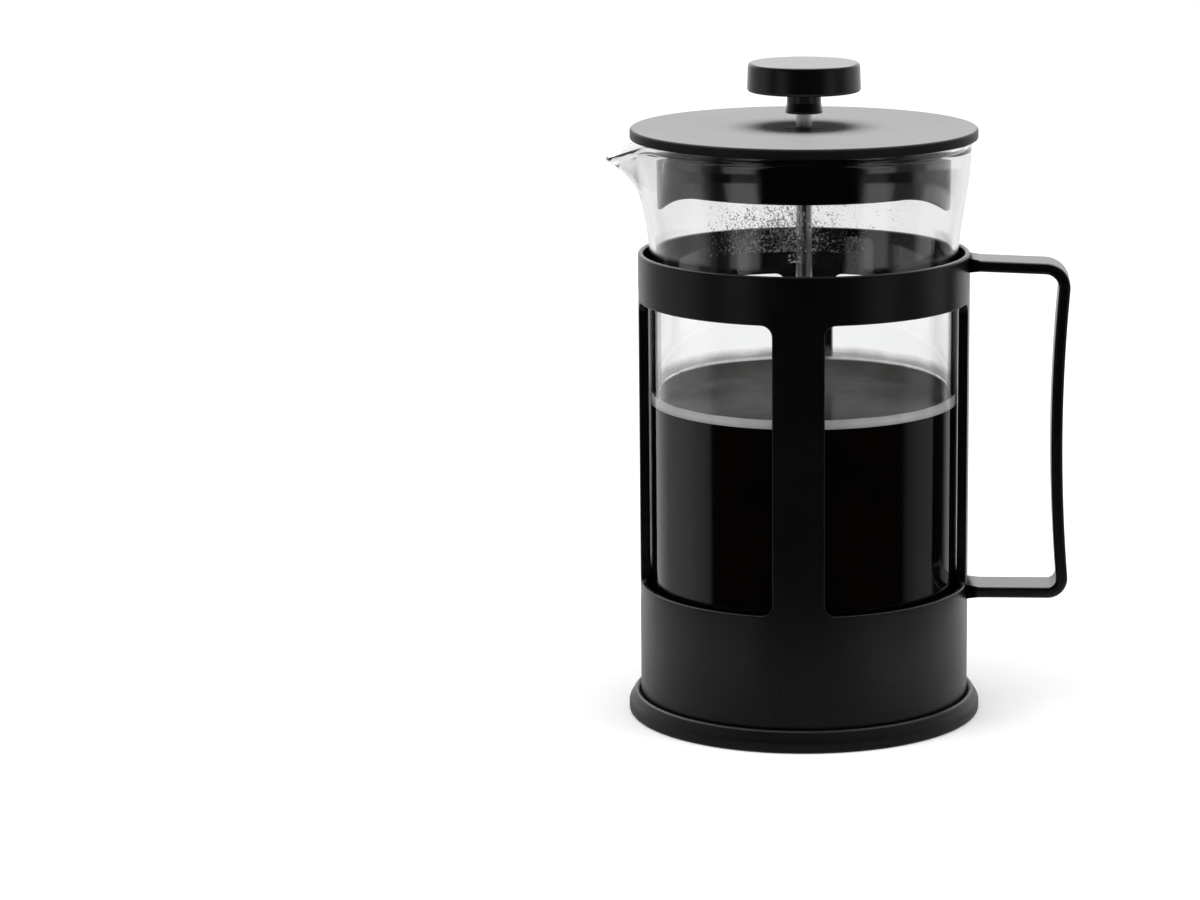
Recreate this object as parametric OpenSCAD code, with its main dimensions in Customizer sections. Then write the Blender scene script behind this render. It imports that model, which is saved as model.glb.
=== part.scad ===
// One-litre french press: a glass beaker stands in a moulded holder with a strap handle, and a flat
// lid guides a plunger whose knob pushes a spring-edged filter down the beaker.
//
// Millimetres, +Z up, standing on z = 0. Every round part shares one upright axis, the beaker's.
// The spout points to -X and the handle to +X, and the origin is midway between their two ends.
// The plunger is drawn pressed, with its knob a little above the lid.

/* [Beaker] */
// Outside diameter of the glass cylinder
beaker_d = 96; // [94:0.5:98]
// Height of the glass from its base to its rim
beaker_h = 176.65; // [170:0.05:184]
// Thickness of the glass wall
glass_t = 2; // [1.6:0.1:2.4]
// Outside diameter of the flared rim
rim_d = 104.2; // [102:0.1:105]
// Distance from the axis to the tip of the spout
spout_reach = 62.1; // [60:0.1:64]

/* [Holder] */
// Gap between the glass and the holder's wall
holder_gap = 2; // [1.5:0.1:2.5]
// Thickness of the holder's wall
holder_t = 1.6; // [1.4:0.1:2]
// Height of the top of the cup
cup_top = 41.9; // [36:0.1:50]
// Height of the underside of the band
band_bottom = 131.9; // [120:0.1:134]
// Height of the top of the band
band_top = 146.4; // [142:0.1:148]
// Width of each upright strap
strap_w = 16; // [12:0.5:20]
// Radius where a strap runs into the band or the cup
window_r = 3.5; // [2:0.1:5]
// Outside diameter of the foot ring
foot_d = 110.8; // [108:0.1:114]
// Height of the foot ring
foot_h = 6.8; // [6:0.1:8]

/* [Handle] */
// Width of the handle strap
handle_w = 15; // [10:0.5:16]
// Thickness of the handle strap
handle_t = 3.6; // [3:0.1:4]
// Distance from the axis to the outer face of the grip, halfway up
grip_reach = 80.8; // [74:0.1:90]
// Radius of the grip's inward bow
grip_bow_r = 534; // [450:1:900]

/* [Lid] */
// Outside diameter of the lid
lid_d = 107.7; // [106.5:0.1:110]
// Thickness of the lid at its edge
lid_t = 3.31; // [3:0.01:4]
// Outside diameter of the skirt that hangs inside the beaker
skirt_d = 91; // [89:0.1:91]
// Depth of the skirt below the lid, at the spout and the handle
skirt_h = 21.1; // [18:0.1:24]
// Height of the shallow arch cut into the skirt at the front and the back
arch_h = 6.6; // [5:0.1:9]

/* [Plunger] */
// Diameter of the rod
rod_d = 5; // [4.5:0.1:5.5]
// Gap left between the knob's stem and the lid
press_gap = 4.34; // [3:0.01:6]
// Diameter of the knob
knob_d = 35.2; // [30:0.1:40]
// Thickness of the knob's disc
knob_h = 8.9; // [8:0.1:12]
// Height of the stem under the knob
stem_h = 6.7; // [5:0.1:9]
// Diameter of the stem where it meets the knob
stem_d = 10.5; // [10:0.1:12]

/* [Filter] */
// Diameter of one turn of the spring round the filter's edge
spring_d = 4.8; // [4:0.1:5]
// Height of the mesh's turned-up edge
mesh_h = 6.3; // [5.5:0.1:7]
// Holes in the innermost ring of the spring plate
first_ring_holes = 8; // [6:1:10]
// Rings of holes in the spring plate
hole_rings = 3; // [2:1:3]
// Round openings in the cross plate
cross_openings = 8; // [6:1:8]

/* [Hidden] */
$fn = 96;

// Clearances: a sliding fit, a part that only rests on another, and a loose one
slide = 0.05;
rest_gap = 0.05;
loose = 0.3;
past = 1; // how far a cut runs past a face

// Radii and heights that several parts share
beaker_r = beaker_d / 2;
bore_r = beaker_r - glass_t;
rim_r = rim_d / 2;
wall_in_r = beaker_r + holder_gap;
wall_r = wall_in_r + holder_t;
strap_in_r = beaker_r + 0.6;
floor_top = 5;
floor_t = 2.5;
glass_floor = 3;
glass_z = floor_top + rest_gap;
inner_floor = glass_z + glass_floor;
rim_z = glass_z + beaker_h;
lid_under = rim_z + rest_gap;
lid_top = lid_under + lid_t;
skirt_r = skirt_d / 2;
skirt_t = 1.6;
rod_r = rod_d / 2;
end_r = 2; // radius of the rod's threaded lower end
neck_r = 3.5; // opening in the cross plate for the hub's neck
stem_z = lid_top + press_gap;
knob_z = stem_z + stem_h;

// Filter stack, from the hub's underside up
sheet_t = 0.8;
mesh_t = 0.35;
hub_z = inner_floor + press_gap + 0.2;
hub_h = 2.6;
cross_z = hub_z + hub_h;
mesh_z = cross_z + sheet_t;
plate_z = mesh_z + mesh_t;
plate_top = plate_z + sheet_t;
washer_t = 0.6;
collar_z = plate_top + washer_t;
collar_h = 4;
mesh_r = bore_r - 0.1;
spring_r = mesh_r - mesh_t - spring_d / 2 - slide;

// Handle centreline: a sloping upper arm, a bowed grip and a level lower arm
foot_of_arm = wall_in_r + 0.2;
upper_arm_z = 143;
upper_arm_fall = 0.035;
lower_arm_z = 39.3;
upper_corner_r = 6.2;
lower_corner_r = 4.4;
bow = [grip_reach - handle_t / 2 + grip_bow_r, (upper_arm_z + lower_arm_z) / 2];
upper_offset = upper_arm_z + upper_arm_fall * foot_of_arm
    - upper_corner_r * sqrt(1 + upper_arm_fall * upper_arm_fall);
upper_corner = corner_centre(upper_offset, upper_arm_fall, upper_corner_r);
lower_corner = corner_centre(lower_arm_z + lower_corner_r, 0, lower_corner_r);
handle_reach = handle_t / 2
    + max(upper_corner[0] + upper_corner_r, lower_corner[0] + lower_corner_r);

// The beaker's axis, with the origin midway between the spout's tip and the handle
axis_x = (spout_reach - handle_reach) / 2;

// Points along an arc, from angle a0 to angle a1
function arc(c, r, a0, a1, n = 8) =
    [for (i = [0:n]) c + r * [cos(a0 + (a1 - a0) * i / n), sin(a0 + (a1 - a0) * i / n)]];

// Centre of a corner of radius r that touches the bow and an arm whose offset line is z = z0 - fall * x
function corner_centre(z0, fall, r) =
    let (
        dz = bow[1] - z0,
        q = 1 + fall * fall,
        b = fall * dz - bow[0],
        c = bow[0] * bow[0] + dz * dz - (grip_bow_r + r) * (grip_bow_r + r),
        x = (-b - sqrt(b * b - q * c)) / q
    ) [x, z0 - fall * x];

// Angle of the line from a corner's centre to the bow's centre
function bow_angle(c) = atan2(bow[1] - c[1], bow[0] - c[0]);

// Radius of the glass's outer face at height z: a straight wall that flares smoothly to the rim
flare_z = 144;
flare_end = 178;
flare_steps = 12;
function blend(t) = t * t * (3 - 2 * t);
function glass_r(z) = beaker_r + (rim_r - beaker_r) * blend((z - flare_z) / (flare_end - flare_z));
flare_heights = [for (i = [0:flare_steps]) flare_z + (flare_end - flare_z) * i / flare_steps];

module on_axis() translate([axis_x, 0, 0]) children();

module ring(r_out, r_in, z, h) translate([0, 0, z]) difference() {
    cylinder(r = r_out, h = h);
    translate([0, 0, -past]) cylinder(r = r_in, h = h + 2 * past);
}

module turned(points) rotate_extrude() polygon(points);

// ---------------------------------------------------------------- holder

// A straight strap seen from the front, with a fillet at each of its four ends
module strap_outline() {
    h = band_bottom - cup_top;
    translate([-strap_w / 2, cup_top - past]) square([strap_w, h + 2 * past]);
    for (side = [-1, 1], end = [0, 1])
        translate([side * strap_w / 2, cup_top + end * h])
            scale([side, end == 0 ? 1 : -1])
                difference() {
                    translate([-past, -past]) square([window_r + past, window_r + past]);
                    translate([window_r, window_r]) circle(r = window_r);
                }
}

// The strap's outline pushed right through the holder, front to back
module strap_slab() rotate([90, 0, 0])
    linear_extrude(height = 2 * (wall_r + 2 * past), center = true) strap_outline();

module strap_slabs() {
    strap_slab();
    rotate([0, 0, 90]) strap_slab();
}

module windows() difference() {
    translate([0, 0, cup_top]) cylinder(r = wall_r + past, h = band_bottom - cup_top);
    strap_slabs();
}

module handle_slots() {
    slot_w = handle_w + 2 * slide;
    slot_t = handle_t + 2 * slide;
    slot_l = holder_t + past;
    for (z = [upper_arm_z, lower_arm_z])
        translate([foot_of_arm - slide, -slot_w / 2, z - slot_t / 2]) cube([slot_l, slot_w, slot_t]);
}

module holder_frame() color("#1b1b1c") on_axis() {
    rim = holder_t / 2;
    wall_foot = 1.5; // the wall stands on the foot ring at this height
    rib_h = 32;
    rib_t = 1.6;
    backing_z = cup_top - 8; // each strap is thicker inside, from here to the band
    backing_h = band_bottom + 6 - backing_z;
    difference() {
        union() {
            turned(concat(
                [[wall_in_r, wall_foot], [wall_r, wall_foot]],
                arc([wall_r - rim, band_top - rim], rim, 0, 180)
            ));
            translate([0, 0, floor_top - floor_t]) cylinder(r = wall_in_r + rim, h = floor_t);
            intersection() {
                ring(wall_in_r + rim, strap_in_r, backing_z, backing_h);
                union() {
                    for (a = [0, 90])
                        rotate([0, 0, a]) translate([-strap_w / 2, -wall_r, backing_z - past])
                            cube([strap_w, 2 * wall_r, backing_h + 2 * past]);
                }
            }
            for (a = [30:60:330])
                rotate([0, 0, a]) translate([beaker_r + loose, -rib_t / 2, floor_top - past])
                    cube([holder_gap, rib_t, rib_h]);
        }
        windows();
        handle_slots();
    }
}

module foot_ring() color("#1d1d1e") on_axis() {
    foot_r = foot_d / 2;
    foot_in_r = wall_r - 4;
    edge = 0.8;
    side_h = 2.2;
    bead_r = 1.6;
    bead_inset = 2.15;
    groove_z = 4.6;
    wall_foot = 1.5;
    turned(concat(
        [[foot_in_r, 0], [foot_r - edge, 0], [foot_r, edge], [foot_r, side_h]],
        arc([foot_r - bead_inset, foot_h - bead_r], bead_r, 20, 150),
        [[wall_r + slide, groove_z], [wall_r + slide, wall_foot], [foot_in_r, wall_foot]]
    ));
}

module handle() color("#1b1b1c") on_axis() {
    half = handle_t / 2;
    top = bow_angle(upper_corner);
    bottom = bow_angle(lower_corner);
    slope = atan(upper_arm_fall);
    outer_side = concat(
        [[foot_of_arm, upper_arm_z + half]],
        arc(upper_corner, upper_corner_r + half, 90 - slope, top),
        arc(bow, grip_bow_r - half, 180 + top, 180 + bottom, 16),
        arc(lower_corner, lower_corner_r + half, bottom, -90),
        [[foot_of_arm, lower_arm_z - half]]
    );
    inner_side = concat(
        [[foot_of_arm, lower_arm_z + half]],
        arc(lower_corner, lower_corner_r - half, -90, bottom),
        arc(bow, grip_bow_r + half, 180 + bottom, 180 + top, 16),
        arc(upper_corner, upper_corner_r - half, top, 90 - slope),
        [[foot_of_arm, upper_arm_z - half]]
    );
    rotate([90, 0, 0]) linear_extrude(height = handle_w, center = true)
        polygon(concat(outer_side, inner_side));
}

// ---------------------------------------------------------------- beaker

// The spout is a leaning cone that opens out of the wall, less an inner cone of the same lean
spout_root_z = 150;
spout_tip_z = 175.2;
spout_lean = 15;
spout_root_r = 2.5;
spout_tip_r = 12;
spout_growth = (spout_tip_r - spout_root_r) / (spout_tip_z - spout_root_z) * cos(spout_lean);
// Distance up the cone's own axis to the tip, and the place of that axis at the root
spout_l = (spout_tip_z - spout_root_z + spout_root_r * sin(spout_lean))
    / (cos(spout_lean) - spout_growth * sin(spout_lean));
spout_axis_x = -spout_reach + spout_l * sin(spout_lean)
    + (spout_root_r + spout_growth * spout_l) * cos(spout_lean);

module spout_cone(inset) translate([spout_axis_x, 0, spout_root_z]) rotate([0, -spout_lean, 0])
    cylinder(
        r1 = spout_root_r - inset,
        r2 = spout_root_r + 2 * spout_l * spout_growth - inset,
        h = 2 * spout_l
    );

// Everything above the spout's edge, which falls from the beaker's rim to the tip
module above_spout() {
    fall = 24;
    block = 80;
    before_tip = 20;
    translate([-spout_reach - before_tip, -block / 2, rim_z]) cube(block);
    translate([-spout_reach, 0, spout_tip_z]) rotate([0, -fall, 0])
        translate([-before_tip, -block / 2, 0]) cube(block);
}

module glass_beaker() color("#dfe9ea", 0.35) on_axis() {
    outer_corner = 6;
    inner_corner = 3;
    rim_edge = 0.6;
    difference() {
        union() {
            turned(concat(
                [[0, glass_z]],
                arc([beaker_r - outer_corner, glass_z + outer_corner], outer_corner, -90, 0),
                [for (z = flare_heights) [glass_r(z), z]],
                [[rim_r, rim_z - rim_edge], [rim_r - rim_edge, rim_z], [0, rim_z]]
            ));
            difference() {
                spout_cone(0);
                above_spout();
            }
        }
        turned(concat(
            [[0, inner_floor]],
            arc([bore_r - inner_corner, inner_floor + inner_corner], inner_corner, -90, 0),
            [for (z = flare_heights) [glass_r(z) - glass_t, z]],
            [[rim_r - glass_t, rim_z + past], [0, rim_z + past]]
        ));
        spout_cone(glass_t);
    }
}

// ---------------------------------------------------------------- lid

bush_r = 5;
bush_head_r = 6.4;
bush_head_t = 1;
groove_d = 1.2; // how deep the skirt sits in the lid
clip_t = 0.8;
clip_z = lid_under - clip_t - loose;
clip_in_r = bush_r - 0.75;

module lid_cover() color("#1b1b1c") on_axis() {
    lid_r = lid_d / 2;
    top_edge = 0.9;
    low_edge = 0.5;
    recess = 1.2;
    recess_out_r = skirt_r - skirt_t - 2;
    recess_in_r = bush_head_r + 4;
    difference() {
        turned(concat(
            [[0, lid_under]],
            arc([lid_r - low_edge, lid_under + low_edge], low_edge, -90, 0, 4),
            arc([lid_r - top_edge, lid_top - top_edge], top_edge, 0, 90, 6),
            [[0, lid_top]]
        ));
        translate([0, 0, lid_under - past]) cylinder(r = bush_r + slide, h = lid_t + 2 * past);
        translate([0, 0, lid_top - bush_head_t - loose])
            cylinder(r = bush_head_r + slide, h = lid_t);
        ring(skirt_r + slide, skirt_r - skirt_t - slide, lid_under - past, groove_d + slide + past);
        ring(recess_out_r, recess_in_r, lid_under - past, recess + past);
    }
}

module lid_skirt() color("#1b1b1c") on_axis() {
    arch_r = 18;
    arch_end = skirt_r - 1.1; // how far out the arch meets the skirt's lower edge
    arch_corner_x = arch_end - sqrt(arch_r * arch_r - (arch_r - arch_h) * (arch_r - arch_h));
    skirt_z = lid_under - skirt_h;
    difference() {
        ring(skirt_r, skirt_r - skirt_t, skirt_z, skirt_h + groove_d);
        rotate([90, 0, 0]) linear_extrude(height = 2 * (skirt_r + past), center = true) {
            translate([-arch_corner_x, skirt_z - past]) square([2 * arch_corner_x, arch_h + past]);
            for (side = [-1, 1])
                translate([side * arch_corner_x, skirt_z + arch_h - arch_r]) circle(r = arch_r);
        }
    }
}

module rod_bushing() color("#222223") on_axis() {
    bush_z = lid_under - 4;
    difference() {
        union() {
            translate([0, 0, bush_z]) cylinder(r = bush_r, h = lid_top - bush_z - slide);
            translate([0, 0, lid_top - bush_head_t - slide])
                cylinder(r = bush_head_r, h = bush_head_t);
        }
        translate([0, 0, bush_z - past])
            cylinder(r = rod_r + slide, h = lid_top - bush_z + 2 * past);
        ring(bush_r + past, clip_in_r - slide, clip_z - slide, clip_t + 2 * slide);
    }
}

// A snap ring under the lid that keeps the bushing in its hole while the lid turns round it
module bushing_clip() color("silver") on_axis() {
    clip_r = 7.2;
    mouth_w = 3;
    difference() {
        ring(clip_r, clip_in_r, clip_z, clip_t);
        translate([0, -mouth_w / 2, clip_z - past]) cube([clip_r + past, mouth_w, clip_t + 2 * past]);
    }
}

// ---------------------------------------------------------------- plunger

insert_r = 3.8;
insert_h = 10.5;
insert_inset = 0.4; // how far the sleeve sits up inside the stem

module knob() color("#1b1b1c") on_axis() {
    knob_r = knob_d / 2;
    taper = 0.35;
    low_edge = 0.8;
    top_edge = 1.1;
    stem_r = stem_d / 2;
    flare_r = stem_r + 0.5;
    flare_h = 3.2;
    flare_foot = 0.6;
    bore_top = 1; // space above the sleeve
    difference() {
        turned(concat(
            [[0, stem_z], [flare_r, stem_z], [flare_r, stem_z + flare_foot],
             [stem_r, stem_z + flare_h], [stem_r, knob_z]],
            arc([knob_r - low_edge, knob_z + low_edge], low_edge, -90, 0, 4),
            arc([knob_r - taper - top_edge, knob_z + knob_h - top_edge], top_edge, 0, 90, 6),
            [[0, knob_z + knob_h]]
        ));
        translate([0, 0, stem_z - past]) cylinder(r = insert_r, h = insert_h + past + bore_top);
    }
}

// The threaded brass sleeve that is moulded into the knob
module knob_insert() color("goldenrod") on_axis()
    ring(insert_r - slide, rod_r + slide, stem_z + insert_inset, insert_h - insert_inset);

module plunger_rod() color("silver") on_axis() {
    translate([0, 0, collar_z]) cylinder(r = rod_r, h = stem_z + insert_h - collar_z);
    translate([0, 0, hub_z + loose]) cylinder(r = end_r, h = collar_z - hub_z);
}

module rod_collar() color("silver") on_axis() {
    collar_r = 4.6;
    ring(collar_r, rod_r + slide, collar_z, collar_h);
}

module collar_washer() color("silver") on_axis() {
    washer_r = 7;
    ring(washer_r, end_r + slide, plate_top, washer_t);
}

// The top plate: its border carries the spring, and its upstanding lip keeps the spring from sliding in
module spring_plate() color("silver") on_axis() {
    plate_r = mesh_r - mesh_t - 0.6;
    lip_r = spring_r - spring_d / 2 - slide;
    lip_h = 2.6;
    hole_r = 2.2;
    ring_step = 9;
    ring_start = 4;
    difference() {
        union() {
            translate([0, 0, plate_z]) cylinder(r = plate_r, h = sheet_t);
            ring(lip_r, lip_r - sheet_t, plate_z, sheet_t + lip_h);
        }
        translate([0, 0, plate_z - past]) cylinder(r = end_r + slide, h = sheet_t + 2 * past);
        for (row = [1:hole_rings], i = [1:first_ring_holes * row])
            rotate([0, 0, (i + row / 2) * 360 / (first_ring_holes * row)])
                translate([ring_start + ring_step * row, 0, plate_z - past])
                    cylinder(r = hole_r, h = sheet_t + 2 * past, $fn = 24);
    }
}

// The coil spring, as a split tube of its outer shape bent round the plate
module edge_spring() color("silver") on_axis() {
    wire_d = 0.6;
    split_w = 1.2;
    coil_r = spring_d / 2;
    rotate_extrude() translate([spring_r, plate_top + coil_r]) difference() {
        circle(r = coil_r, $fn = 48);
        circle(r = coil_r - wire_d, $fn = 48);
        translate([-split_w / 2, 0]) square([split_w, coil_r + past]);
    }
}

// The woven mesh, as a thin sheet with its edge turned up outside the spring
module filter_mesh() color("lightgray") on_axis() difference() {
    translate([0, 0, mesh_z]) cylinder(r = mesh_r, h = mesh_h);
    translate([0, 0, plate_z]) cylinder(r = mesh_r - mesh_t, h = mesh_h);
    translate([0, 0, mesh_z - past]) cylinder(r = end_r + slide, h = mesh_t + 2 * past);
}

module cross_plate() color("silver") on_axis() {
    plate_r = mesh_r - 3.4;
    edge_h = 1.4;
    opening_r = 7.6;
    opening_ring_r = 26.5;
    difference() {
        union() {
            translate([0, 0, cross_z]) cylinder(r = plate_r, h = sheet_t);
            ring(plate_r, plate_r - sheet_t, cross_z - edge_h, edge_h + sheet_t / 2);
        }
        translate([0, 0, cross_z - past]) cylinder(r = neck_r, h = sheet_t + 2 * past);
        for (i = [1:cross_openings])
            rotate([0, 0, i * 360 / cross_openings]) translate([opening_ring_r, 0, cross_z - past])
                cylinder(r = opening_r, h = sheet_t + 2 * past);
    }
}

// The threaded hub under the filter, with a hexagon to hold it by and a neck through the cross plate
module hub_nut() color("silver") on_axis() {
    corner_r = 6;
    bore_h = hub_h + sheet_t + 2 * past;
    difference() {
        union() {
            translate([0, 0, hub_z]) cylinder(r = corner_r, h = hub_h, $fn = 6);
            translate([0, 0, hub_z]) cylinder(r = neck_r - slide, h = hub_h + sheet_t);
        }
        translate([0, 0, hub_z - past]) cylinder(r = end_r + slide, h = bore_h);
    }
}

holder_frame();
foot_ring();
handle();
glass_beaker();
rod_bushing();
bushing_clip();
lid_cover();
lid_skirt();
knob();
knob_insert();
plunger_rod();
rod_collar();
collar_washer();
spring_plate();
edge_spring();
filter_mesh();
cross_plate();
hub_nut();
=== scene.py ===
"""Looks of the french press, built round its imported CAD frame.

Metres, +Z up. The spout points to -X and the handle to +X. Every round piece shares the beaker's axis.
"""
import math

import bmesh
import bpy
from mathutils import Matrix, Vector, noise


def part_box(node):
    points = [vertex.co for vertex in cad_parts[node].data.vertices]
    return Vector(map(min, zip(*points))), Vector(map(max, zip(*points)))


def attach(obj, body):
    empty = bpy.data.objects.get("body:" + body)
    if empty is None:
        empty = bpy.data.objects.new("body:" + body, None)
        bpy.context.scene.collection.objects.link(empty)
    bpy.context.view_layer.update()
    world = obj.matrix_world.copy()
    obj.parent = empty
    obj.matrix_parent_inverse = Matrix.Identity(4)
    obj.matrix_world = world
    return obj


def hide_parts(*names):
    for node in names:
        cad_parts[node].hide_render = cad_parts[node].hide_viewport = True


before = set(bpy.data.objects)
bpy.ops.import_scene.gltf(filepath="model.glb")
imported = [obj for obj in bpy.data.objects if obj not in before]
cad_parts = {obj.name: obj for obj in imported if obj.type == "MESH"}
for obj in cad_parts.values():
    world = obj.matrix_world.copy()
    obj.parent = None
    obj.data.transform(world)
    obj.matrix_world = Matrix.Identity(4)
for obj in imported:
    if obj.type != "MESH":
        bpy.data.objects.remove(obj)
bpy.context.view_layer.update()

MM = 0.001


# ---------------------------------------------------------------- sizes, from the frame where it has them


def middle(node):
    lo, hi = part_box(node)
    return (lo + hi) / 2


def radius(node):
    """Half of a round node's depth from front to back."""
    lo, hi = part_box(node)
    return (hi.y - lo.y) / 2


def low(node):
    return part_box(node)[0].z


def high(node):
    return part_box(node)[1].z


AXIS = middle("lid_cover").x
WALL_R = radius("holder_frame")
GLASS_Z = low("glass_beaker")
RIM_Z = high("glass_beaker")
RIM_R = radius("glass_beaker")
GLASS_T = 2 * MM
GLASS_FLOOR = 3 * MM
BEAKER_R = 48 * MM
BORE_R = BEAKER_R - GLASS_T
FLARE_Z = (144 * MM, 178 * MM)
BEAD_OUT = 0.3 * MM
COFFEE_Z = 99.3 * MM


# ---------------------------------------------------------------- mesh helpers


def at(r, angle, z):
    """Point at radius r and a turn of angle radians about the beaker's axis."""
    return Vector((AXIS + r * math.cos(angle), r * math.sin(angle), z))


def spread(count, first=0.0, turn=2 * math.pi):
    return [first + turn * i / count for i in range(count)]


def skin(bm, rows, wrap=True, loop=False):
    """Quads between rows of points. wrap closes each row, and loop joins the last row to the first."""
    grid = [[bm.verts.new(p) for p in row] for row in rows]
    count = len(grid[0])
    after = grid[1:] + ([grid[0]] if loop else [])
    for row, following in zip(grid, after):
        for i in range(count if wrap else count - 1):
            j = (i + 1) % count
            bm.faces.new((row[i], row[j], following[j], following[i]))


def rounded(corners, closed=True, steps=6):
    """Outline through (r, z, corner radius) points, with an arc at each corner that has a radius."""
    points = []
    count = len(corners)
    for i, (r, z, bend) in enumerate(corners):
        here = Vector((r, z))
        if bend == 0 or (not closed and i in (0, count - 1)):
            points.append(here)
            continue
        before = (Vector(corners[i - 1][:2]) - here).normalized()
        after = (Vector(corners[(i + 1) % count][:2]) - here).normalized()
        half = before.angle(after) / 2
        reach = bend / math.tan(half)
        centre = here + (before + after).normalized() * (bend / math.sin(half))
        start = here + before * reach - centre
        end = here + after * reach - centre
        swing = math.atan2(start.x * end.y - start.y * end.x, start.dot(end))
        for k in range(steps + 1):
            a = swing * k / steps
            points.append(centre + Vector((start.x * math.cos(a) - start.y * math.sin(a),
                                           start.x * math.sin(a) + start.y * math.cos(a))))
    return points


def lathe(bm, outline, closed=True, sides=160):
    """Turns an outline of (r, z) points about the beaker's axis."""
    skin(bm, [[at(p[0], a, p[1]) for a in spread(sides)] for p in outline], loop=closed)


def blend(t):
    t = min(max(t, 0), 1)
    return t * t * (3 - 2 * t)


def mesh_object(name, bm):
    bmesh.ops.remove_doubles(bm, verts=bm.verts, dist=2e-6)
    bmesh.ops.recalc_face_normals(bm, faces=bm.faces)
    mesh = bpy.data.meshes.new(name)
    bm.to_mesh(mesh)
    bm.free()
    mesh.shade_smooth()
    made = bpy.data.objects.new(name, mesh)
    bpy.context.scene.collection.objects.link(made)
    return made


def piece(name, build, body, material, stands_for=(), even=True):
    """Makes a piece from build(bm). even keeps flat faces flat beside their rounded edges."""
    bm = bmesh.new()
    build(bm)
    made = mesh_object(name, bm)
    made.data.materials.append(material)
    if even:
        weighted = made.modifiers.new("even_normals", "WEIGHTED_NORMAL")
        weighted.weight = 80
    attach(made, body)
    if stands_for:
        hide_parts(*stands_for)
    return made


# ---------------------------------------------------------------- materials


def new_material(name):
    material = bpy.data.materials.new(name)
    material.use_nodes = True
    tree = material.node_tree
    tree.nodes.clear()
    return material, tree


def add(tree, kind, inputs=None, **settings):
    """A shader node. inputs maps socket names or numbers to values or to other sockets."""
    node = tree.nodes.new("ShaderNode" + kind)
    for key, value in settings.items():
        setattr(node, key, value)
    for key, value in (inputs or {}).items():
        if isinstance(value, bpy.types.NodeSocket):
            tree.links.new(value, node.inputs[key])
        else:
            node.inputs[key].default_value = value
    return node


def grey(level):
    return (level, level, level, 1)


def object_place(tree, stretch=(1, 1, 1)):
    place = add(tree, "TexCoord")
    return add(tree, "Mapping", {"Vector": place.outputs["Object"], "Scale": stretch}).outputs[0]


def mottle(tree, place, scale, low_value, high_value, detail=3.0):
    """Noise spread over a range of values."""
    speckle = add(tree, "TexNoise", {"Vector": place, "Scale": scale, "Detail": detail})
    spread_out = add(tree, "MapRange", {0: speckle.outputs[0], 1: 0.3, 2: 0.7, 3: low_value, 4: high_value})
    return spread_out.outputs[0]


def two_tone(tree, place, scale, dark, light):
    """Noise between two colours."""
    share = mottle(tree, place, scale, 0.0, 1.0)
    mix = add(tree, "Mix", {0: share, 6: dark, 7: light}, data_type="RGBA")
    return mix.outputs[2]


def bump(tree, height, distance, strength=1.0, normal=None):
    inputs = {"Height": height, "Distance": distance, "Strength": strength}
    if normal is not None:
        inputs["Normal"] = normal
    return add(tree, "Bump", inputs).outputs[0]


def finish_material(tree, shader):
    out = add(tree, "OutputMaterial")
    tree.links.new(shader, out.inputs["Surface"])


def moulded_plastic(name, dark, light, rough, ior=1.33, uneven=0.03, wave_depth=0.00002, painted_top_light=0.0):
    """Black moulded plastic: faint flow marks, an uneven sheen and a fine spark-eroded grain.

    The last argument is how much paler the faces that look up are painted: painted light for a top lit from
    above, with their gloss turned down there.
    """
    material, tree = new_material(name)
    place = object_place(tree)
    fine = add(tree, "TexNoise", {"Vector": place, "Scale": 2400, "Detail": 2.0})
    wave = add(tree, "TexNoise", {"Vector": place, "Scale": 60, "Detail": 1.0})
    wavy = bump(tree, wave.outputs[0], wave_depth)
    tone = two_tone(tree, place, 45, grey(dark), grey(light))
    gloss = 0.5
    # Painted light: faces that look up get a paler base colour and less gloss
    if painted_top_light:
        up = add(tree, "SeparateXYZ", {0: add(tree, "NewGeometry").outputs["True Normal"]})
        top = add(tree, "MapRange", {0: up.outputs["Z"], 1: 0.8, 2: 0.98})
        painted_top_tone = two_tone(tree, place, 30, grey(painted_top_light * 0.94), grey(painted_top_light))
        tone = add(tree, "Mix", {0: top.outputs[0], 6: tone, 7: painted_top_tone}, data_type="RGBA").outputs[2]
        gloss = add(tree, "MapRange", {0: top.outputs[0], 3: 0.5, 4: 0.005}).outputs[0]
    surface = add(tree, "BsdfPrincipled", {
        "Base Color": tone,
        "Specular IOR Level": gloss,
        "Roughness": mottle(tree, place, 70, rough - uneven, rough + uneven, 5.0),
        "IOR": ior,
        "Normal": bump(tree, fine.outputs[0], 0.0000015, 1.0, wavy),
    })
    finish_material(tree, surface.outputs[0])
    return material


def metal(name, dark, light, rough, grain_scale, stretch=(1, 1, 1)):
    """Metal with drawn or rolled grain: stretch sets which way the grain runs."""
    material, tree = new_material(name)
    place = object_place(tree, stretch)
    tone = two_tone(tree, place, grain_scale / 4, dark, light)
    sheen = mottle(tree, place, grain_scale / 2, rough * 0.7, rough * 1.3)
    fine = add(tree, "TexNoise", {"Vector": place, "Scale": grain_scale, "Detail": 3.0})
    surface = add(tree, "BsdfPrincipled", {
        "Base Color": tone,
        "Metallic": 1.0,
        "Roughness": sheen,
        "Normal": bump(tree, fine.outputs[0], 0.000004),
    })
    finish_material(tree, surface.outputs[0])
    return material


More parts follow.
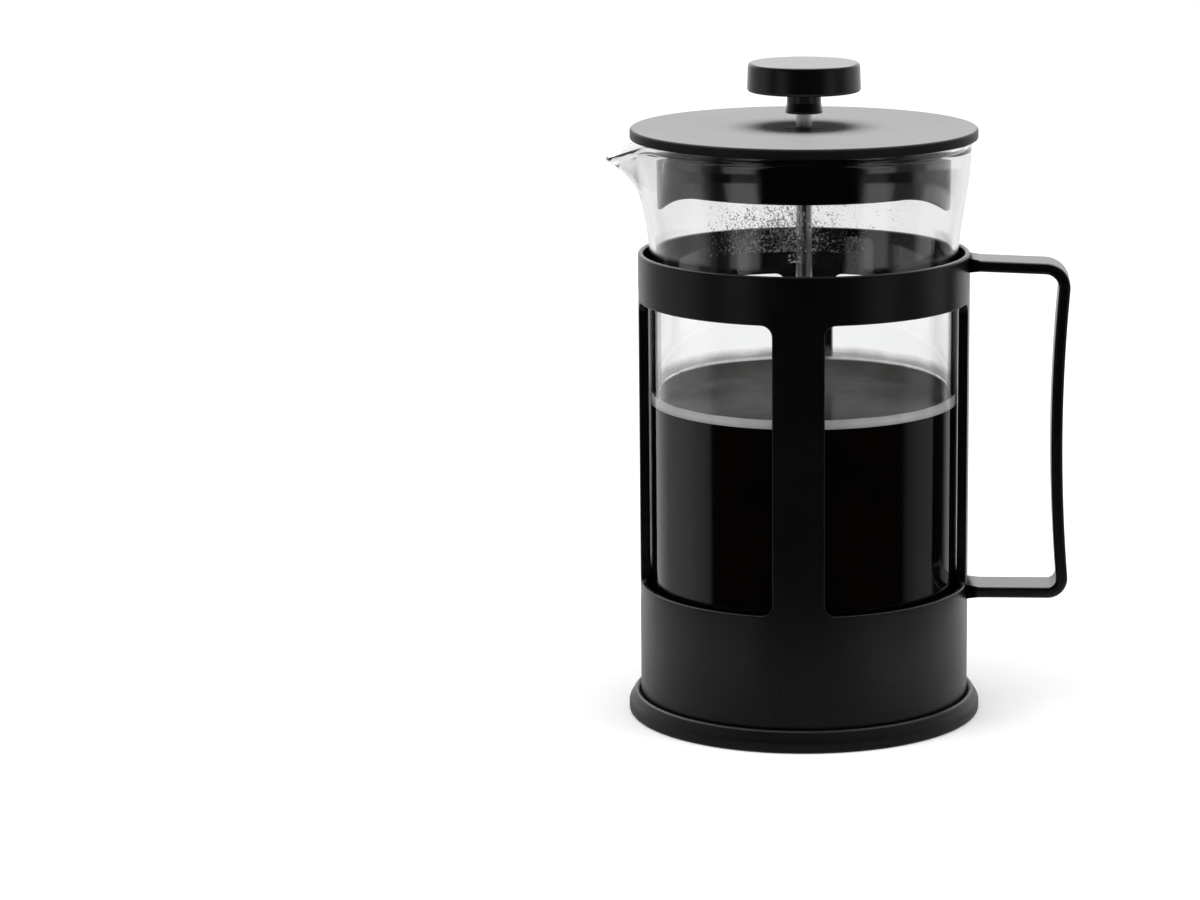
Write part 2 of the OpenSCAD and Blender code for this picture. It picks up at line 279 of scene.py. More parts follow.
def woven_wire(name):
    """Fine square weave: two crossed sets of wires, seen as bump and as dark gaps."""
    material, tree = new_material(name)
    place = object_place(tree)
    pitch = 0.5 * MM
    across = add(tree, "TexWave", {"Vector": place, "Scale": 0.31 / pitch}, bands_direction="X")
    along = add(tree, "TexWave", {"Vector": place, "Scale": 0.31 / pitch}, bands_direction="Y")
    upright = add(tree, "TexWave", {"Vector": place, "Scale": 0.31 / pitch}, bands_direction="Z")
    crossed = add(tree, "Math", {0: across.outputs[1], 1: along.outputs[1]}, operation="MAXIMUM")
    wires = add(tree, "Math", {0: crossed.outputs[0], 1: upright.outputs[1]}, operation="MAXIMUM")
    tone = add(tree, "Mix", {0: wires.outputs[0], 6: grey(0.05), 7: (0.66, 0.65, 0.63, 1)}, data_type="RGBA")
    surface = add(tree, "BsdfPrincipled", {
        "Base Color": tone.outputs[2],
        "Metallic": 0.9,
        "Roughness": mottle(tree, place, 900, 0.3, 0.45),
        "Normal": bump(tree, wires.outputs[0], 0.0001),
    })
    finish_material(tree, surface.outputs[0])
    return material


def shadow_clear(tree, surface, tint):
    """Lets light through in shadow rays, so that what is inside is lit."""
    path = add(tree, "LightPath")
    clear = add(tree, "BsdfTransparent", {"Color": tint})
    mix = add(tree, "MixShader", {0: path.outputs["Is Shadow Ray"], 1: surface, 2: clear.outputs[0]})
    return mix.outputs[0]


def clear_glass(name):
    """Blown borosilicate: clear, slightly wavy, with faint smears, and greyed on its shoulder as painted
    shade.
    """
    material, tree = new_material(name)
    place = object_place(tree)
    wave = add(tree, "TexNoise", {"Vector": place, "Scale": 24, "Detail": 1.0})
    height = add(tree, "SeparateXYZ", {0: add(tree, "TexCoord").outputs["Object"]}).outputs["Z"]
    # Painted shade: the glass turns greyer from 140 mm up and is fully grey above 160 mm, on the flared
    # shoulder
    painted_shoulder_shade = add(tree, "MapRange", {0: height, 1: 140 * MM, 2: 160 * MM})
    clean = two_tone(tree, place, 12, (0.975, 0.98, 0.98, 1), grey(0.99))
    tone = add(tree, "Mix", {0: painted_shoulder_shade.outputs[0], 6: clean, 7: grey(0.91)}, data_type="RGBA").outputs[2]
    surface = add(tree, "BsdfPrincipled", {
        "Base Color": tone,
        "Roughness": mottle(tree, place, 40, 0.0, 0.006, 4.0),
        "IOR": 1.47,
        "Transmission Weight": 1.0,
        "Normal": bump(tree, wave.outputs[0], 0.00006, 0.4),
    })
    finish_material(tree, shadow_clear(tree, surface.outputs[0], (0.93, 0.94, 0.94, 1)))
    return material


def coffee_liquid(name):
    """Black coffee in contact with the glass: next to no reflection of its own."""
    material, tree = new_material(name)
    place = object_place(tree)
    surface = add(tree, "BsdfPrincipled", {
        "Base Color": two_tone(tree, place, 60, (0.0016, 0.0011, 0.0008, 1), (0.003, 0.002, 0.0014, 1)),
        "Roughness": mottle(tree, place, 90, 0.02, 0.07),
        "IOR": 1.03,
    })
    finish_material(tree, surface.outputs[0])
    return material


def coffee_film(name):
    """Surface of the coffee, hazy with fine foam and oil, and painted paler at the far side as painted
    light.
    """
    material, tree = new_material(name)
    place = object_place(tree)
    front = two_tone(tree, place, 90, (0.045, 0.043, 0.042, 1), (0.062, 0.060, 0.058, 1))
    back = two_tone(tree, place, 90, (0.20, 0.195, 0.19, 1), (0.26, 0.255, 0.25, 1))
    # Painted light: the tone runs from the darker front to a paler far side
    axes = add(tree, "SeparateXYZ", {0: add(tree, "TexCoord").outputs["Object"]})
    far = add(tree, "MapRange", {0: axes.outputs["Y"], 1: -0.7 * BORE_R, 2: 0.6 * BORE_R})
    tone = add(tree, "Mix", {0: far.outputs[0], 6: front, 7: back}, data_type="RGBA").outputs[2]
    surface = add(tree, "BsdfPrincipled", {
        "Base Color": tone,
        "Roughness": mottle(tree, place, 300, 0.08, 0.14),
        "IOR": 1.025,
    })
    finish_material(tree, surface.outputs[0])
    return material


def foam(name):
    """Pale froth where the coffee meets the glass."""
    material, tree = new_material(name)
    place = object_place(tree)
    bubbles = add(tree, "TexVoronoi", {"Vector": place, "Scale": 900})
    surface = add(tree, "BsdfPrincipled", {
        "Base Color": two_tone(tree, place, 160, (0.42, 0.415, 0.41, 1), (0.52, 0.515, 0.51, 1)),
        "Roughness": mottle(tree, place, 300, 0.35, 0.6),
        "Normal": bump(tree, bubbles.outputs["Distance"], 0.00015, 0.5),
    })
    finish_material(tree, surface.outputs[0])
    return material


def froth_film(name):
    """Thin froth that lets the light behind it through."""
    material, tree = new_material(name)
    place = object_place(tree)
    glow = add(tree, "BsdfTranslucent", {"Color": two_tone(tree, place, 160, grey(0.8), grey(0.98))})
    finish_material(tree, glow.outputs[0])
    return material


def steam_film(name, bottom, top):
    """Thin mist on the glass above the coffee, thickest at the bottom and gone a few millimetres up."""
    material, tree = new_material(name)
    place = add(tree, "TexCoord").outputs["Object"]
    height = add(tree, "SeparateXYZ", {0: place}).outputs["Z"]
    ragged = mottle(tree, place, 90, -0.5 * MM, 0.5 * MM)
    level = add(tree, "Math", {0: height, 1: ragged}, operation="ADD")
    fade = add(tree, "MapRange", {0: level.outputs[0], 1: bottom, 2: top, 3: 0.75, 4: 0.0})
    patchy = mottle(tree, place, 120, 0.8, 1.0)
    share = add(tree, "Math", {0: fade.outputs[0], 1: patchy}, operation="MULTIPLY")
    mist = add(tree, "BsdfDiffuse", {"Color": grey(0.3)})
    clear = add(tree, "BsdfTransparent")
    mix = add(tree, "MixShader", {0: share.outputs[0], 1: clear.outputs[0], 2: mist.outputs[0]})
    finish_material(tree, mix.outputs[0])
    return material


def condensation(name, middle_x, half_width, bottom, top):
    """Fine drops of condensation, densest low in the middle of their patch, painted light and dark: painted
    highlights and shade for the light the clear drops bend.
    """
    material, tree = new_material(name)
    place = add(tree, "TexCoord").outputs["Object"]
    axes = add(tree, "SeparateXYZ", {0: place})
    aside = add(tree, "Math", {0: axes.outputs["X"], 1: -middle_x}, operation="ADD")
    off = add(tree, "Math", {0: aside.outputs[0]}, operation="ABSOLUTE")
    ragged = mottle(tree, place, 200, -0.25, 0.25)
    across = add(tree, "MapRange", {0: off.outputs[0], 1: 0.0, 2: half_width, 3: 1.0, 4: 0.0})
    upward = add(tree, "MapRange", {0: axes.outputs["Z"], 1: bottom, 2: top, 3: 1.0, 4: 0.0})
    dense = add(tree, "Math", {0: across.outputs[0], 1: upward.outputs[0]}, operation="MULTIPLY")
    patch = add(tree, "Math", {0: dense.outputs[0], 1: ragged}, operation="ADD")
    speckle = add(tree, "TexNoise", {"Vector": place, "Scale": 1600, "Detail": 1.0})
    share = {0: patch.outputs[0], 1: 0.35, 2: speckle.outputs[0]}
    lifted = add(tree, "Math", share, operation="MULTIPLY_ADD")
    drops = add(tree, "MapRange", {0: lifted.outputs[0], 1: 0.68, 2: 0.82, 3: 0.0, 4: 0.75})
    # Painted highlights and shade: each drop is painted light or dark
    shade = add(tree, "TexNoise", {"Vector": place, "Scale": 1100, "Detail": 0.0})
    tone = add(tree, "MapRange", {0: shade.outputs[0], 1: 0.4, 2: 0.6, 3: 0.14, 4: 0.62})
    film = add(tree, "BsdfDiffuse", {"Color": tone.outputs[0]})
    clear = add(tree, "BsdfTransparent")
    mix = add(tree, "MixShader", {0: drops.outputs[0], 1: clear.outputs[0], 2: film.outputs[0]})
    finish_material(tree, mix.outputs[0])
    return material


def pale_floor(name, dark, light):
    """Matt white floor that fades into the background."""
    material, tree = new_material(name)
    place = object_place(tree)
    surface = add(tree, "BsdfPrincipled", {
        "Base Color": two_tone(tree, place, 3, grey(dark), grey(light)),
        "Roughness": mottle(tree, place, 8, 0.85, 0.95),
        "Specular IOR Level": 0.0,
    })
    finish_material(tree, surface.outputs[0])
    return material


def reflector_card(name):
    """Dark in front of the object and light at its sides."""
    material, tree = new_material(name)
    place = object_place(tree)
    aside = add(tree, "SeparateXYZ", {0: place}).outputs["X"]
    off = add(tree, "Math", {0: aside}, operation="ABSOLUTE")
    light = add(tree, "MapRange", {0: off.outputs[0], 1: 0.04, 2: 0.13, 3: 0.42, 4: 1.0})
    uneven = mottle(tree, place, 8, 0.95, 1.0)
    tone = add(tree, "Math", {0: light.outputs[0], 1: uneven}, operation="MULTIPLY")
    surface = add(tree, "BsdfDiffuse", {"Color": tone.outputs[0]})
    finish_material(tree, surface.outputs[0])
    return material


BLACK = moulded_plastic("black_plastic", 0.0008, 0.0016, 0.30)
FOOT_BLACK = moulded_plastic("foot_plastic", 0.0014, 0.0024, 0.42)
EVEN = {"uneven": 0.01, "wave_depth": 0.000001}
# The lid's upward faces are painted paler, as painted light for the overhead light to show
LID_BLACK = moulded_plastic("lid_plastic", 0.0015, 0.0022, 0.36, ior=1.16, painted_top_light=0.021, **EVEN)
KNOB_BLACK = moulded_plastic("knob_plastic", 0.0010, 0.0018, 0.26, ior=1.45, **EVEN)
SKIRT_BLACK = moulded_plastic("skirt_plastic", 0.0008, 0.0014, 0.09, ior=1.5, **EVEN)
GLASS = clear_glass("clear_glass")
POLISHED = metal("polished_steel", (0.62, 0.62, 0.61, 1), (0.72, 0.72, 0.71, 1), 0.32, 900, (1, 1, 0.06))
SHEET = metal("sheet_steel", (0.52, 0.52, 0.51, 1), (0.64, 0.64, 0.63, 1), 0.3, 1400, (0.08, 1, 1))
WIRE = metal("spring_steel", (0.5, 0.5, 0.49, 1), (0.64, 0.64, 0.63, 1), 0.22, 1600)
WOVEN = woven_wire("woven_steel")
BRASS = metal("brass_insert", (0.58, 0.40, 0.15, 1), (0.72, 0.53, 0.23, 1), 0.25, 1200, (1, 1, 0.1))
COFFEE = coffee_liquid("coffee")
FOAM = foam("coffee_foam")


# ---------------------------------------------------------------- holder


CUP_TOP = 41.9 * MM
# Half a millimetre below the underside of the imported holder's band
BAND_BOTTOM = 131.4 * MM
STRAP_W = 16 * MM
WINDOW_R = 3.5 * MM
HOLDER_T = 1.6 * MM
STRAP_T = 3.0 * MM
EDGE_R = 0.45 * MM
HANDLE_T = 3.6 * MM


def window_rings(grow):
    """A window's edge, grown by grow, and the points that it faces on the border of its quarter.

    Both are lists of (distance round the holder, height), in the same order and number.
    """
    half_w = WALL_R * (math.pi / 4 - math.asin(STRAP_W / 2 / WALL_R))
    border_w = WALL_R * math.pi / 4
    border_z = (CUP_TOP - 6 * MM, BAND_BOTTOM + 5 * MM)
    inner_x = half_w - WINDOW_R
    inner_z = (CUP_TOP + WINDOW_R, BAND_BOTTOM - WINDOW_R)
    arc_steps = 6
    half_arc = arc_steps // 2

    def facing(x, z, angle):
        if angle % 180 == 0:
            return Vector((border_w if angle % 360 == 0 else -border_w, z))
        return Vector((x, border_z[0] if angle % 360 == 270 else border_z[1]))

    corners = [(inner_x, inner_z[0], -90), (inner_x, inner_z[1], 0),
               (-inner_x, inner_z[1], 90), (-inner_x, inner_z[0], 180)]
    edge, border = [], []
    for n, (x, z, start) in enumerate(corners):
        first, last = facing(x, z, start), facing(x, z, start + 90)
        far = Vector((math.copysign(border_w, x), border_z[0] if z == inner_z[0] else border_z[1]))
        for k in range(arc_steps + 1):
            a = math.radians(start + 90 * k / arc_steps)
            reach = WINDOW_R + grow
            edge.append(Vector((x + reach * math.cos(a), z + reach * math.sin(a))))
            border.append(first.lerp(far, k / half_arc) if k <= half_arc
                          else far.lerp(last, (k - half_arc) / half_arc))
        next_x, next_z, next_start = corners[(n + 1) % 4]
        a = math.radians(next_start)
        target = Vector((next_x, next_z)) + (WINDOW_R + grow) * Vector((math.cos(a), math.sin(a)))
        steps = 20 if next_z == z else 8
        here, here_border = edge[-1], border[-1]
        target_border = facing(next_x, next_z, next_start)
        for k in range(1, steps):
            edge.append(here.lerp(target, k / steps))
            border.append(here_border.lerp(target_border, k / steps))
    return edge, border


def strap_backing(x):
    """Thickness of the holder at a distance round it: more behind the straps than elsewhere."""
    from_strap = WALL_R * math.pi / 4 - abs(x)
    share = 1 - blend((from_strap - STRAP_W / 2 + 0.5 * MM) / (2.5 * MM))
    return HOLDER_T + (STRAP_T - HOLDER_T) * share


def holder_quarter(bm, turn):
    """A quarter of the holder's wall, with one window in it and the rim and hem above and below."""
    def place(point, depth):
        return at(WALL_R - depth, turn + point.x / WALL_R, point.y)

    def face(grow, outside):
        edge, _ = window_rings(grow)
        return [place(p, 0 if outside else strap_backing(p.x)) for p in edge]

    edge, border = window_rings(0)
    rows = [[place(p, 0) for p in border], face(3 * MM, True)]
    for k in range(5):
        a = math.radians(22.5 * k)
        ring, _ = window_rings(EDGE_R * (1 - math.sin(a)))
        rows.append([place(p, EDGE_R * (1 - math.cos(a))) for p in ring])
    for k in range(5):
        a = math.radians(22.5 * k)
        ring, _ = window_rings(EDGE_R * (1 - math.cos(a)))
        rows.append([place(p, strap_backing(p.x) - EDGE_R * (1 - math.sin(a))) for p in ring])
    rows += [face(3 * MM, False), [place(p, strap_backing(p.x)) for p in border]]
    skin(bm, rows)

    top = max(p.y for p in border)
    bottom = min(p.y for p in border)
    rim_z = high("holder_frame")
    foot_z = low("holder_frame")
    lip_r = HOLDER_T * 0.49
    lip = rounded([(0, top, 0), (0, rim_z, lip_r), (HOLDER_T, rim_z, lip_r),
                   (HOLDER_T, top + 1.5 * MM, 0)], closed=False)
    hem = [(0, bottom), (0, bottom - 8 * MM), (0, foot_z + 6 * MM), (0, foot_z), (HOLDER_T, foot_z),
           (HOLDER_T, foot_z + 6 * MM), (HOLDER_T, bottom - 8 * MM), (HOLDER_T, bottom - 1.5 * MM)]
    for level, profile in ((top, lip), (bottom, hem)):
        columns = sorted({round(p.x, 6) for p in border if abs(p.y - level) < 1e-6})
        strip = [[place(Vector((x, z)), depth) for x in columns] for depth, z in profile]
        strip.append([place(Vector((x, level)), strap_backing(x)) for x in columns])
        skin(bm, strip, wrap=False)


def holder(bm):
    """The wall in four quarters, its floor, and the ribs in the cup that centre the glass."""
    for quarter in range(4):
        holder_quarter(bm, math.radians(45 + 90 * quarter))
    floor_r = WALL_R - HOLDER_T / 2
    floor_bottom, floor_top = 2.5 * MM, 5 * MM
    lathe(bm, [(0, floor_bottom), (floor_r, floor_bottom), (floor_r, floor_top), (0, floor_top)],
          closed=False)
    rib_inner, rib_outer = 48.3 * MM, 50.3 * MM
    rib_foot, rib_top = 4 * MM, 36 * MM
    rib_half = 0.8 * MM
    for angle in spread(6, math.radians(30)):
        aside = Vector((-math.sin(angle), math.cos(angle), 0)) * rib_half
        outline = rounded([(rib_inner, rib_foot, 0), (rib_outer, rib_foot, 0),
                           (rib_outer, rib_top, 0), (rib_inner, rib_top, 1.2 * MM)])
        sides = [[at(p[0], angle, p[1]) + side * aside for p in outline] for side in (-1, 1)]
        skin(bm, sides)
        for side in sides:
            bm.faces.new([bm.verts.new(p) for p in side])


def foot_ring(bm):
    """Rounded bead with a narrow groove between it and the holder's wall."""
    foot_r = radius("foot_ring")
    top = high("foot_ring")
    inner_r = WALL_R - 4 * MM
    ledge = 1.5 * MM
    lathe(bm, rounded([
        (inner_r, 0.02 * MM, 0.3 * MM), (foot_r, 0.02 * MM, 0.9 * MM), (foot_r, 3.4 * MM, 2.4 * MM),
        (foot_r - 2.0 * MM, top, 1.5 * MM), (foot_r - 3.55 * MM, top, 1.1 * MM),
        (foot_r - 3.7 * MM, 4.6 * MM, 0.3 * MM), (WALL_R + 0.05 * MM, 4.5 * MM, 0),
        (WALL_R + 0.05 * MM, ledge, 0), (inner_r, ledge, 0.3 * MM)]), sides=220)


def handle_line():
    """Centre line of the handle as (point, outward normal) pairs, in the plane of the spout and handle."""
    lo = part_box("handle")[0]
    half_t = HANDLE_T / 2
    root_x = WALL_R - HOLDER_T / 2
    fall = 0.035
    lower_z = lo.z + half_t
    upper_z = 143 * MM
    bow_r = 534 * MM
    waist = 80.8 * MM
    bow = Vector((waist - half_t + bow_r, (upper_z + lower_z) / 2))

    def corner(level, slope, r):
        rise = bow.y - level
        q = 1 + slope * slope
        b = slope * rise - bow.x
        c = bow.x ** 2 + rise ** 2 - (bow_r + r) ** 2
        x = (-b - math.sqrt(b * b - q * c)) / q
        return Vector((x, level - slope * x))

    upper_r, lower_r = 6.2 * MM, 4.4 * MM
    upper_level = upper_z + fall * (lo.x - AXIS)
    upper = corner(upper_level - upper_r * math.sqrt(1 + fall * fall), fall, upper_r)
    lower = corner(lower_z + lower_r, 0, lower_r)
    towards = [math.atan2(bow.y - c.y, bow.x - c.x) for c in (upper, lower)]
    slope = math.atan(fall)
    line = []

    def arc(centre, r, a0, a1, steps, side=1):
        for k in range(steps + 1):
            a = a0 + (a1 - a0) * k / steps
            out = Vector((math.cos(a), math.sin(a)))
            line.append((centre + r * out, out * side))

    up = Vector((math.sin(slope), math.cos(slope)))
    for k in range(6):
        x = root_x + (upper.x - root_x) * k / 6
        line.append((Vector((x, upper_level - fall * x)), up))
    arc(upper, upper_r, math.pi / 2 - slope, towards[0], 10)
    arc(bow, bow_r, math.pi + towards[0], math.pi + towards[1], 24, -1)
    arc(lower, lower_r, towards[1], -math.pi / 2, 10)
    for k in range(1, 7):
        line.append((Vector((lower.x + (root_x - lower.x) * k / 6, lower_z)), Vector((0, -1))))
    return line


def handle(bm):
    """Strap that follows handle_line, a little thicker where it meets the holder."""
    lo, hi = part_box("handle")
    half_w = (hi.y - lo.y) / 2
    section = rounded([(-half_w, -HANDLE_T / 2, 1.0 * MM), (half_w, -HANDLE_T / 2, 1.0 * MM),
                       (half_w, HANDLE_T / 2, 1.2 * MM), (-half_w, HANDLE_T / 2, 1.2 * MM)], steps=5)
    root_r = WALL_R + 0.2 * MM
    rows = []
    for point, out in handle_line():
        swell = 1 + 0.28 * blend(1 - (point.x - root_r) / (2.6 * MM))
        rows.append([Vector((AXIS + point.x + out.x * q.y * swell, q.x, point.y + out.y * q.y * swell))
                     for q in section])
    skin(bm, rows)
    for row in (rows[0], rows[-1]):
        bm.faces.new([bm.verts.new(p) for p in row])


# ---------------------------------------------------------------- beaker


def glass_r(z):
    """Radius of the glass's outer face at height z, away from the spout and below the rim's bead."""
    return BEAKER_R + (RIM_R - BEAD_OUT - BEAKER_R) * blend((z - FLARE_Z[0]) / (FLARE_Z[1] - FLARE_Z[0]))


SPOUT_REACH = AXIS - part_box("glass_beaker")[0].x - RIM_R
SPOUT_Z = 163.5 * MM
SPOUT_DROP = 6.5 * MM


def spout_share(angle, width_deg):
    """1 in the middle of the spout, falling smoothly to 0 on either side."""
    off = math.degrees(math.atan2(math.sin(angle - math.pi), math.cos(angle - math.pi)))
    return math.exp(-(off / width_deg) ** 2)


def glass_point(angle, r, z, inset):
    """A point of the glass, drawn out and lowered where the spout is."""
    narrow, wide = spout_share(angle, 12.5), spout_share(angle, 14.5)
    rim = RIM_Z - SPOUT_DROP * wide
    start = SPOUT_Z - 12 * MM
    if z > start:
        z = start + (z - start) * (rim - start) / (RIM_Z - start)
    lift = min(max((z - SPOUT_Z) / (rim - SPOUT_Z), 0), 1)
    reach = SPOUT_REACH * narrow * lift ** 1.65
    thinning = 0.35 * inset * narrow * lift
    return at(r + reach + thinning, angle, z)


def glass_columns():
    """Angles round the glass, closer together at the spout."""
    spout = [math.pi + math.radians(a * 0.8) for a in range(-48, 49)]
    rest = spread(112, spout[-1], 2 * math.pi - (spout[-1] - spout[0]))[1:]
    return spout + rest


def beaker(bm):
    """Up the outside of the glass, over the rim's bead and down the inside."""
    outer_bend, inner_bend = 6 * MM, 3 * MM
    bead = 1.2 * MM
    heights = [FLARE_Z[0] + (RIM_Z - 2 * bead - FLARE_Z[0]) * k / 26 for k in range(27)]
    outside = rounded([(0, GLASS_Z, 0), (BEAKER_R, GLASS_Z, outer_bend), (BEAKER_R, 40 * MM, 0)], False, 10)
    inside = rounded([(0, GLASS_Z + GLASS_FLOOR, 0), (BORE_R, GLASS_Z + GLASS_FLOOR, inner_bend),
                      (BORE_R, 40 * MM, 0)], False, 10)
    rows = []
    columns = glass_columns()
    for p in outside:
        rows.append([at(p[0], a, p[1]) for a in columns])
    for z in heights:
        rows.append([glass_point(a, glass_r(z), z, 0) for a in columns])
    for k in range(13):
        turn = math.pi * (k / 8 - 0.25)
        r = RIM_R - bead + bead * math.cos(turn)
        z = RIM_Z - bead + bead * math.sin(turn)
        rows.append([glass_point(a, r, z, bead * (1 - math.cos(turn))) for a in columns])
    for z in reversed(heights):
        rows.append([glass_point(a, glass_r(z) - GLASS_T, z, GLASS_T) for a in columns])
    for p in reversed(inside):
        rows.append([at(p[0], a, p[1]) for a in columns])
    skin(bm, rows)


def back_share(angle):
    """0 round the front of the beaker, 1 round the back."""
    return blend(0.5 + 0.62 * math.sin(angle))


def tide(angle):
    """How far the wet edge stands above the coffee: low at the front, higher round to the back."""
    return (2.0 + 2.7 * back_share(angle)) * MM


def coffee(bm):
    """The drink, reaching a little into the glass so that no air shows between them."""
    r = BORE_R + 0.06 * MM
    floor_z = GLASS_Z + GLASS_FLOOR - 0.06 * MM
    top = COFFEE_Z - 0.3 * MM
    outline = [(0, floor_z, 0), (r, floor_z, 3 * MM), (r, top, 0), (r - 0.4 * MM, top, 0), (0, top, 0)]
    lathe(bm, rounded(outline, False, 8), closed=False, sides=192)


def coffee_top(bm):
    """Surface of the drink, with the film of coffee that it leaves on the glass above it."""
    steps = 8
    rows = []
    for step in range(steps + 1):
        share = step / steps
        r = BORE_R - 0.3 * MM - 1.6 * MM * share ** 2
        climb = (1 - share) ** 1.5
        rows.append([at(r, a, COFFEE_Z + 0.02 * MM + (tide(a) - 0.3 * MM) * climb) for a in spread(192)])
    for inset in (2.6 * MM, 8 * MM, BORE_R):
        rows.append([at(BORE_R - inset, a, COFFEE_Z) for a in spread(192)])
    skin(bm, rows)


def coffee_ring(bm):
    """Froth between the glass and the film of coffee, standing above the film at the front.

    Each point of its outline is (radius, height, share of the tide, further rise at the front).
    """
    r = BORE_R + 0.04 * MM
    bottom, crest = -2.2 * MM, 0.6 * MM
    outline = [(r, bottom, 0.35, 0), (r, 0, 1, crest), (r - 0.25 * MM, -0.05 * MM, 1, crest),
               (r - 0.32 * MM, -0.3 * MM, 1, crest), (r - 0.32 * MM, -0.9 * MM, 1, 0),
               (r - 0.3 * MM, bottom, 0.35, 0)]

    def froth_z(angle, lift, share, rise):
        bubble = noise.noise(Vector((6 * math.cos(angle), 6 * math.sin(angle), lift * 300)))
        level = COFFEE_Z + lift + tide(angle) * share + rise * (1 - back_share(angle))
        return level + 0.12 * MM * bubble

    skin(bm, [[at(p[0], a, froth_z(a, *p[1:])) for a in spread(256)] for p in outline], loop=True)


def back_arc(bottom, top, depth, half_angle):
    """Rows of a strip on the back of the bore, between two heights worked out for each angle."""
    angles = [math.radians(90 - half_angle + half_angle * i / 60) for i in range(121)]
    return [[at(BORE_R - depth, a, bottom(a) + (top(a) - bottom(a)) * k / 4) for a in angles]
            for k in range(5)]


def froth_edge(angle):
    """Height where the froth ends and the mist begins."""
    return COFFEE_Z + tide(angle) + 0.8 * MM * back_share(angle)


def froth_line(bm):
    """Thin rim of froth above the film at the back, lit from behind."""
    skin(bm, back_arc(lambda a: COFFEE_Z + tide(a) - 0.1 * MM, froth_edge, 0.12 * MM, 68), wrap=False)


MIST_Z = (COFFEE_Z + 6.3 * MM, COFFEE_Z + 9.2 * MM)
FILM_DEPTH = 0.06 * MM


def film_patch(bm, centre, half_angle, z0, z1):
    """A patch of film just inside the glass, centred on a turn of centre degrees."""
    rows = []
    for k in range(9):
        z = z0 + (z1 - z0) * k / 8
        r = glass_r(z) - GLASS_T - FILM_DEPTH
        rows.append([at(r, math.radians(centre - half_angle + half_angle * i / 40), z) for i in range(81)])
    skin(bm, rows, wrap=False)


def mist(bm):
    skin(bm, back_arc(froth_edge, lambda a: MIST_Z[1], FILM_DEPTH, 88), wrap=False)


def back_drops(bm):
    film_patch(bm, 90, 44, 139 * MM, 164 * MM)


def front_drops(bm):
    film_patch(bm, 271, 5, 150 * MM, 166 * MM)


# ---------------------------------------------------------------- lid


def lid_cover(bm):
    """Disc that sinks by its crown towards the bushing, hollowed from below between skirt and boss."""
    r = radius("lid_cover")
    under, top = low("lid_cover"), high("lid_cover")
    crown = 0.12 * MM
    bore_r, seat_r = 5.05 * MM, radius("rod_bushing") + 0.02 * MM
    seat_z = top - 1.3 * MM
    step_r, hollow_r, boss_r = 46.5 * MM, 42 * MM, 10.4 * MM
    step_z, hollow_z = under + 0.3 * MM, under + 1.2 * MM
    lathe(bm, rounded([
        (bore_r, seat_z, 0), (seat_r, seat_z, 0), (seat_r, top - crown, 0), (r * 0.6, top - crown * 0.4, 0),
        (r * 0.9, top - crown * 0.2, 0), (r, top, 0.9 * MM), (r, under, 0.5 * MM), (step_r, under, 0),
        (step_r, step_z, 0), (hollow_r, step_z, 0), (hollow_r, hollow_z, 0.3 * MM),
        (boss_r, hollow_z, 0.3 * MM), (boss_r, under, 0.3 * MM), (bore_r, under, 0.2 * MM)]), sides=220)


def lid_skirt(bm):
    """Ring under the lid, cut away in an arch at the front and at the back."""
    r = radius("lid_skirt")
    bottom, top = low("lid_skirt"), high("lid_skirt")
    thick = 1.6 * MM
    arch_h, arch_r = 6.6 * MM, 18 * MM
    arch_end = r - 1.1 * MM
    corner_x = arch_end - math.sqrt(arch_r ** 2 - (arch_r - arch_h) ** 2)

    def edge_z(angle):
        x = abs(r * math.cos(angle))
        if x <= corner_x:
            return bottom + arch_h
        if x >= arch_end:
            return bottom
        return bottom + arch_h - arch_r + math.sqrt(arch_r ** 2 - (x - corner_x) ** 2)

    # Heights are above the lower edge, and the two points at 1 stand for the top of the ring
    bend = 0.45 * MM
    outline = rounded([(r, 1, 0), (r, 0, bend), (r - thick, 0, bend), (r - thick, 1, 0)], False, 4)
    rows = []
    for ring_r, rise in outline:
        rows.append([at(ring_r, a, top if rise > 0.5 else edge_z(a) + rise) for a in spread(480)])
    skin(bm, rows, loop=True)


# ---------------------------------------------------------------- plunger


def knob(bm):
    """Disc on a short stem with a flared foot, and a socket for the insert."""
    r = radius("knob")
    foot, top = low("knob"), high("knob")
    disc_z = foot + 6.7 * MM
    stem_r, flare_r = 5.25 * MM, 5.75 * MM
    socket_r, socket_top = 3.8 * MM, foot + 11.5 * MM
    lathe(bm, rounded([
        (socket_r, foot, 0.3 * MM), (flare_r, foot, 0.25 * MM), (flare_r, foot + 0.6 * MM, 0.3 * MM),
        (stem_r, foot + 3.2 * MM, 2 * MM), (stem_r, disc_z, 0.9 * MM), (r, disc_z, 0.9 * MM),
        (r - 0.35 * MM, top, 1.1 * MM), (r * 0.5, top - 0.02 * MM, 0), (0, top, 0)], False)
        + [(0, socket_top), (socket_r, socket_top)], sides=144)


ROD_SIDES = 24


def thread(r, depth, pitch, z0, z1):
    """Rows of a threaded stretch: a ridge that climbs one pitch in each turn."""
    count = int((z1 - z0) / pitch * 6)
    rows = []
    for k in range(count + 1):
        z = z0 + (z1 - z0) * k / count
        ends = min(1, (z - z0) / pitch, (z1 - z) / pitch)
        rows.append([at(r - depth * ends * abs(((z / pitch - a / (2 * math.pi)) % 1) * 2 - 1), a, z)
                     for a in spread(ROD_SIDES)])
    return rows


